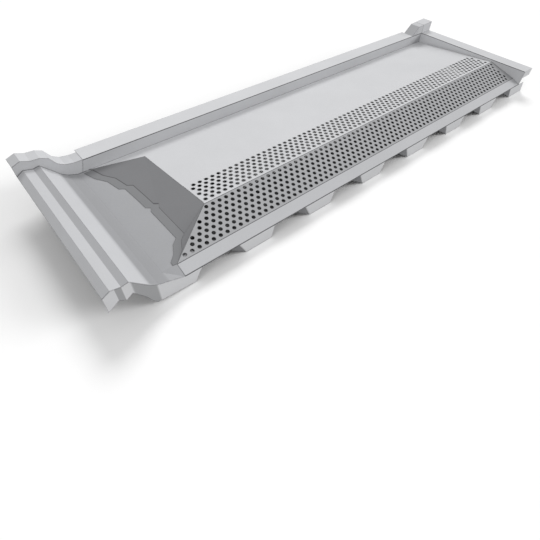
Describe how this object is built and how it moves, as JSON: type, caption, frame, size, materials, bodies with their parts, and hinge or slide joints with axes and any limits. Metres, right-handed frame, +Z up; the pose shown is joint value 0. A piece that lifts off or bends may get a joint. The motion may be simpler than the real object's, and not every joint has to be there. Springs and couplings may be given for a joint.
{
  "type": "metal roof tile vent",
  "caption": "Pressed steel roof tile panel with side-lap ribs, a wave-toothed front nose and a low perforated vent hood closed by a sloped end cap.",
  "frame": {"origin": "middle of the bottom of the box around the part, level with the lowest points of the teeth", "axes": "+X along the panel from the side-lap ribs to the right flange, +Y from the nose to the rear flange, +Z up"},
  "size_m": [1.318, 0.4002, 0.104],
  "materials": {
    "panel_coat": "matt grey coated steel",
    "hood_coat": "matt light grey coated steel",
    "cap_coat": "matt mid grey coated steel"
  },
  "bodies": {
    "root": {"base_panel": "panel_coat", "vent_hood": "hood_coat", "end_cap_left": "cap_coat"}
  },
  "joints": []
}
